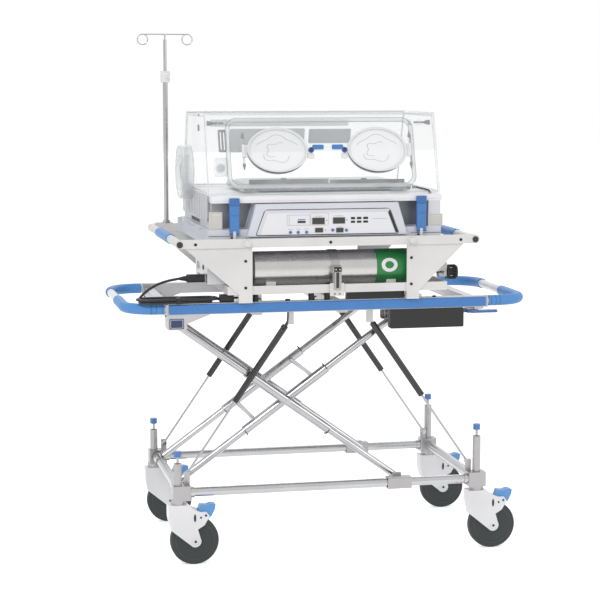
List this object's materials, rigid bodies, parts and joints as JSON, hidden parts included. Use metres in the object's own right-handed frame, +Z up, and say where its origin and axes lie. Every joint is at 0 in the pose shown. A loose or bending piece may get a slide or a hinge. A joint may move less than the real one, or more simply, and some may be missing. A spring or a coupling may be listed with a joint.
{
  "type": "infant incubator",
  "caption": "Transport incubator: clear tilting-front hood over a heated base, carried with an oxygen cylinder on a scissor-lift trolley with swivel casters.",
  "frame": {"origin": "on the floor, at the centre of the trolley's plan", "axes": "+X along the trolley, to the right for someone facing the control panel; +Y away from the panel side; +Z up"},
  "size_m": [1.297, 0.666, 1.634],
  "materials": {
    "rail_paint": "satin light grey paint",
    "block_steel": "brushed",
    "blue_cap": "gloss",
    "fork": "satin white paint",
    "tyre": "matte",
    "pedal": "satin",
    "leg_chrome": "polished",
    "slider": "satin",
    "strut_body": "satin black",
    "strut_rod": "polished",
    "platform_alloy": "satin",
    "cover_blue": "semi-gloss",
    "loop_tube": "satin",
    "grip_blue": "matte",
    "battery": "matte black",
    "lever": "satin",
    "carrier_paint": "satin warm grey paint",
    "foot_black": "matte",
    "module": "satin grey",
    "oxygen": "gloss white and green",
    "valve": "matte black",
    "strap": "brushed",
    "shell": "satin lavender grey",
    "panel": "printed overlay",
    "fan": "satin",
    "clear": "clear acrylic",
    "port_blue": "gloss",
    "bolt": "satin white",
    "iris": "translucent white",
    "tray": "bright",
    "mattress": "soft",
    "pole": "polished",
    "lead": "matte",
    "plug": "semi-gloss"
  },
  "bodies": {
    "base": {"base_rails": "rail_paint", "corner_blocks": "block_steel", "buffer_caps": "blue_cap"},
    "leg_a": {"leg_a_frame": "leg_chrome"},
    "leg_b": {"leg_b_frame": "leg_chrome"},
    "lower_slider": {"lower_sliders": "slider"},
    "upper_slider": {"upper_sliders": "slider"},
    "platform": {"platform_frame": "platform_alloy", "rail_covers": "cover_blue", "loop_handles": "loop_tube", "handle_grips": "grip_blue", "battery_box": "battery", "carrier_frame": "carrier_paint", "docking_feet": "foot_black", "power_module": "module", "oxygen_cylinder": "oxygen", "cylinder_valve": "valve", "cylinder_strap": "strap", "base_shell": "shell", "shell_deck": "shell", "control_panel": "panel", "hood_shell": "clear", "mattress_tray": "tray", "mattress": "mattress", "iv_pole": "pole", "lead_tube": "lead", "lead_plug": "plug", "lead_hank": "lead", "wall_plug": "plug"},
    "strut_left": {"strut_cylinders_left": "strut_body"},
    "strut_right": {"strut_cylinders_right": "strut_body"},
    "strut_rod_left": {"strut_rods_left": "strut_rod"},
    "strut_rod_right": {"strut_rods_right": "strut_rod"},
    "lever": {"release_lever": "lever"},
    "knob": {"valve_knob": "valve"},
    "strap_lever": {"strap_latch": "strap"},
    "fan": {"fan_impeller": "fan"},
    "door": {"front_door": "clear"},
    "port_left": {"port_door_left": "clear"},
    "port_right": {"port_door_right": "clear"},
    "latch_left": {"port_latch_left": "port_blue"},
    "latch_right": {"port_latch_right": "port_blue"},
    "bolt_left": {"door_bolt_left": "bolt"},
    "bolt_right": {"door_bolt_right": "bolt"},
    "iris": {"iris_ring": "iris"},
    "clamp_left": {"hood_clamp_left": "port_blue"},
    "clamp_right": {"hood_clamp_right": "port_blue"},
    "pole_inner": {"iv_pole_inner": "pole"},
    "fork_front_left": {"caster_fork_front_left": "fork"},
    "wheel_front_left": {"caster_wheel_front_left": "tyre"},
    "pedal_front_left": {"brake_pedal_front_left": "pedal"},
    "fork_front_right": {"caster_fork_front_right": "fork"},
    "wheel_front_right": {"caster_wheel_front_right": "tyre"},
    "pedal_front_right": {"brake_pedal_front_right": "pedal"},
    "fork_back_left": {"caster_fork_back_left": "fork"},
    "wheel_back_left": {"caster_wheel_back_left": "tyre"},
    "pedal_back_left": {"brake_pedal_back_left": "pedal"},
    "fork_back_right": {"caster_fork_back_right": "fork"},
    "wheel_back_right": {"caster_wheel_back_right": "tyre"},
    "pedal_back_right": {"brake_pedal_back_right": "pedal"}
  },
  "joints": [
    {"name": "scissor_lift", "type": "hinge", "parent": "base", "child": "leg_a", "pos_m": [-0.473, 0, 0.225], "axis": [0, 1, 0], "range_deg": [0, 27.18]},
    {"name": "leg_cross", "type": "hinge", "parent": "leg_a", "child": "leg_b", "pos_m": [-0.127, 0, 0.487], "axis": [0, 1, 0], "range_deg": [-54.47, 0]},
    {"name": "platform_pivot", "type": "hinge", "parent": "leg_b", "child": "platform", "pos_m": [-0.473, 0, 0.749], "axis": [0, 1, 0], "range_deg": [0, 27.28]},
    {"name": "lower_slider_pivot", "type": "hinge", "parent": "leg_b", "child": "lower_slider", "pos_m": [0.219, 0, 0.225], "axis": [0, 1, 0], "range_deg": [0, 27.28]},
    {"name": "upper_slider_pivot", "type": "hinge", "parent": "leg_a", "child": "upper_slider", "pos_m": [0.219, 0, 0.749], "axis": [0, 1, 0], "range_deg": [-27.28, 0]},
    {"name": "strut_pivot_left", "type": "hinge", "parent": "platform", "child": "strut_left", "pos_m": [-0.126, 0, 0.748], "axis": [0, 1, 0], "range_deg": [0, 38.73]},
    {"name": "strut_stroke_left", "type": "slide", "parent": "strut_left", "child": "strut_rod_left", "axis": [0.5675, 0, 0.8234], "range_m": [0, 0.2348]},
    {"name": "strut_pivot_right", "type": "hinge", "parent": "platform", "child": "strut_right", "pos_m": [0.126, 0, 0.748], "axis": [0, 1, 0], "range_deg": [-38.73, 0]},
    {"name": "strut_stroke_right", "type": "slide", "parent": "strut_right", "child": "strut_rod_right", "axis": [-0.5675, 0, 0.8234], "range_m": [0, 0.2348]},
    {"name": "swivel_front_left", "type": "hinge", "parent": "base", "child": "fork_front_left", "pos_m": [-0.483, -0.275, 0.19], "axis": [0, 0, 1], "continuous": true},
    {"name": "wheel_spin_front_left", "type": "hinge", "parent": "fork_front_left", "child": "wheel_front_left", "pos_m": [-0.433, -0.275, 0.075], "axis": [0, 1, 0], "continuous": true},
    {"name": "brake_front_left", "type": "hinge", "parent": "fork_front_left", "child": "pedal_front_left", "pos_m": [-0.4, -0.275, 0.155], "axis": [0, 1, 0], "range_deg": [0, 18]},
    {"name": "swivel_front_right", "type": "hinge", "parent": "base", "child": "fork_front_right", "pos_m": [0.475, -0.275, 0.19], "axis": [0, 0, 1], "continuous": true},
    {"name": "wheel_spin_front_right", "type": "hinge", "parent": "fork_front_right", "child": "wheel_front_right", "pos_m": [0.525, -0.275, 0.075], "axis": [0, 1, 0], "continuous": true},
    {"name": "brake_front_right", "type": "hinge", "parent": "fork_front_right", "child": "pedal_front_right", "pos_m": [0.558, -0.275, 0.155], "axis": [0, 1, 0], "range_deg": [0, 18]},
    {"name": "swivel_back_left", "type": "hinge", "parent": "base", "child": "fork_back_left", "pos_m": [-0.483, 0.275, 0.19], "axis": [0, 0, 1], "continuous": true},
    {"name": "wheel_spin_back_left", "type": "hinge", "parent": "fork_back_left", "child": "wheel_back_left", "pos_m": [-0.433, 0.275, 0.075], "axis": [0, 1, 0], "continuous": true},
    {"name": "brake_back_left", "type": "hinge", "parent": "fork_back_left", "child": "pedal_back_left", "pos_m": [-0.4, 0.275, 0.155], "axis": [0, 1, 0], "range_deg": [0, 18]},
    {"name": "swivel_back_right", "type": "hinge", "parent": "base", "child": "fork_back_right", "pos_m": [0.475, 0.275, 0.19], "axis": [0, 0, 1], "continuous": true},
    {"name": "wheel_spin_back_right", "type": "hinge", "parent": "fork_back_right", "child": "wheel_back_right", "pos_m": [0.525, 0.275, 0.075], "axis": [0, 1, 0], "continuous": true},
    {"name": "brake_back_right", "type": "hinge", "parent": "fork_back_right", "child": "pedal_back_right", "pos_m": [0.558, 0.275, 0.155], "axis": [0, 1, 0], "range_deg": [0, 18]},
    {"name": "release_lever_turn", "type": "hinge", "parent": "platform", "child": "lever", "pos_m": [0.462, -0.225, 0.758], "axis": [0, 0, 1], "range_deg": [0, 35]},
    {"name": "valve_turn", "type": "hinge", "parent": "platform", "child": "knob", "pos_m": [0.396, -0.238, 0.884], "axis": [1, 0, 0], "continuous": true},
    {"name": "strap_latch_swing", "type": "hinge", "parent": "platform", "child": "strap_lever", "pos_m": [0.009, -0.319, 0.908], "axis": [-1, 0, 0], "range_deg": [0, 120]},
    {"name": "fan_spin", "type": "hinge", "parent": "platform", "child": "fan", "pos_m": [-0.11, 0.06, 1.04], "axis": [0, 0, 1], "continuous": true},
    {"name": "front_door_drop", "type": "hinge", "parent": "platform", "child": "door", "pos_m": [0, -0.25463, 1.14536], "axis": [1, 0, 0], "range_deg": [0, 107.9]},
    {"name": "port_door_left_swing", "type": "hinge", "parent": "door", "child": "port_left", "pos_m": [-0.264, -0.22035, 1.26775], "axis": [0, -0.3081, -0.9513], "range_deg": [0, 135]},
    {"name": "port_door_right_swing", "type": "hinge", "parent": "door", "child": "port_right", "pos_m": [0.264, -0.22035, 1.26775], "axis": [0, 0.3081, 0.9513], "range_deg": [0, 135]},
    {"name": "port_latch_left_turn", "type": "hinge", "parent": "door", "child": "latch_left", "pos_m": [-0.053, -0.2231, 1.26865], "axis": [0, -0.9513, 0.3081], "range_deg": [0, 80]},
    {"name": "port_latch_right_turn", "type": "hinge", "parent": "door", "child": "latch_right", "pos_m": [0.053, -0.2231, 1.26865], "axis": [0, 0.9513, -0.3081], "range_deg": [0, 80]},
    {"name": "door_bolt_left_slide", "type": "slide", "parent": "platform", "child": "bolt_left", "axis": [1, 0, 0], "range_m": [0, 0.013]},
    {"name": "door_bolt_right_slide", "type": "slide", "parent": "platform", "child": "bolt_right", "axis": [-1, 0, 0], "range_m": [0, 0.013]},
    {"name": "iris_turn", "type": "hinge", "parent": "platform", "child": "iris", "pos_m": [-0.4, 0.085, 1.19], "axis": [1, 0, 0], "range_deg": [0, 120]},
    {"name": "clamp_left_swing", "type": "hinge", "parent": "platform", "child": "clamp_left", "pos_m": [-0.306, -0.292, 1.024], "axis": [1, 0, 0], "range_deg": [0, 90]},
    {"name": "clamp_right_swing", "type": "hinge", "parent": "platform", "child": "clamp_right", "pos_m": [0.281, -0.292, 1.024], "axis": [1, 0, 0], "range_deg": [0, 90]},
    {"name": "pole_slide", "type": "slide", "parent": "platform", "child": "pole_inner", "axis": [0, 0, 1], "range_m": [-0.09, 0.3]}
  ],
  "couplings": [
    {"joint": "leg_cross", "follows": "scissor_lift", "ratio": -2},
    {"joint": "platform_pivot", "follows": "scissor_lift", "ratio": 1},
    {"joint": "lower_slider_pivot", "follows": "scissor_lift", "ratio": 1},
    {"joint": "upper_slider_pivot", "follows": "scissor_lift", "ratio": -1},
    {"joint": "strut_pivot_left", "follows": "scissor_lift", "ratio": 1.4175},
    {"joint": "strut_pivot_right", "follows": "scissor_lift", "ratio": -1.4175},
    {"joint": "strut_stroke_left", "follows": "scissor_lift", "m_per_rad": 0.49272},
    {"joint": "strut_stroke_right", "follows": "scissor_lift", "m_per_rad": 0.49272}
  ]
}
